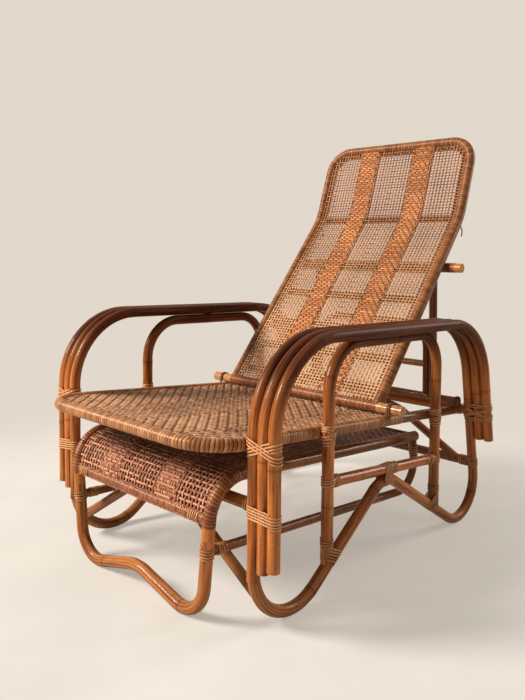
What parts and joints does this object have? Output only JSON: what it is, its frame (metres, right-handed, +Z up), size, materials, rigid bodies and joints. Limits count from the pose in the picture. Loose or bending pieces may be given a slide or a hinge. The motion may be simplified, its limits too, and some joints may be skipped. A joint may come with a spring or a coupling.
{
  "type": "reclining lounge chair",
  "caption": "Rattan lounge chair with bent-pole arms, a woven seat, a hinged woven backrest on a prop, and a woven footrest that slides out from under the seat.",
  "frame": {"origin": "on the floor, under the middle of the whole chair", "axes": "+X to the sitter's left, -Y to the front, +Z up"},
  "size_m": [0.7466, 1.0572, 1.0478],
  "materials": {
    "rattan_pole": "gloss varnish",
    "cane_weave": "satin varnish",
    "cane_binding": "satin varnish",
    "hook_wire": "satin"
  },
  "bodies": {
    "frame": {"arm_lashings_left": "cane_binding", "arm_lashings_right": "cane_binding", "arm_pole_middle_left": "rattan_pole", "arm_pole_middle_right": "rattan_pole", "arm_pole_outer_left": "rattan_pole", "arm_pole_outer_right": "rattan_pole", "back_pivot_loops": "cane_binding", "front_brace": "rattan_pole", "front_cross_rail": "rattan_pole", "inner_arch_left": "rattan_pole", "inner_arch_right": "rattan_pole", "low_lashings": "cane_binding", "post_lashings_left": "cane_binding", "post_lashings_right": "cane_binding", "prop_pivot_loops": "cane_binding", "rear_brace": "rattan_pole", "rear_low_rail": "rattan_pole", "rear_seat_rail": "rattan_pole", "seat_frame": "rattan_pole", "seat_panel": "cane_weave", "seat_rear_rail": "rattan_pole", "side_hoop_left": "rattan_pole", "side_hoop_right": "rattan_pole", "side_stretcher_left": "rattan_pole", "side_stretcher_right": "rattan_pole"},
    "backrest": {"back_frame": "rattan_pole", "back_inner_lath": "rattan_pole", "back_panel": "cane_weave", "back_pivot_bar": "rattan_pole", "back_rail_1": "rattan_pole", "back_rail_2": "rattan_pole", "back_rail_3": "rattan_pole", "back_rail_4": "rattan_pole", "back_rail_5": "rattan_pole", "back_rail_6": "rattan_pole", "prop_hooks": "hook_wire"},
    "prop": {"prop_arch": "rattan_pole", "prop_foot_bar": "rattan_pole", "prop_leg_left": "rattan_pole", "prop_leg_right": "rattan_pole", "prop_rail": "rattan_pole", "prop_top_bar": "rattan_pole"},
    "footrest": {"footrest_edge_rail": "rattan_pole", "footrest_frame": "rattan_pole", "footrest_lashings": "cane_binding", "footrest_panel": "cane_weave", "footrest_rear_rail": "rattan_pole", "footrest_runner_left": "rattan_pole", "footrest_runner_right": "rattan_pole"}
  },
  "joints": [
    {"name": "back_recline", "type": "hinge", "parent": "frame", "child": "backrest", "pos_m": [0, 0.06231, 0.34709], "axis": [-1, 0, 0], "range_deg": [0, 18.29]},
    {"name": "prop_tilt", "type": "hinge", "parent": "frame", "child": "prop", "pos_m": [0, 0.38241, 0.3191], "axis": [-1, 0, 0], "range_deg": [0, 32]},
    {"name": "footrest_slide", "type": "slide", "parent": "frame", "child": "footrest", "axis": [0, -1, 0], "range_m": [0, 0.28]}
  ],
  "couplings": [
    {"joint": "prop_tilt", "follows": "back_recline", "ratio": 1.7488}
  ]
}
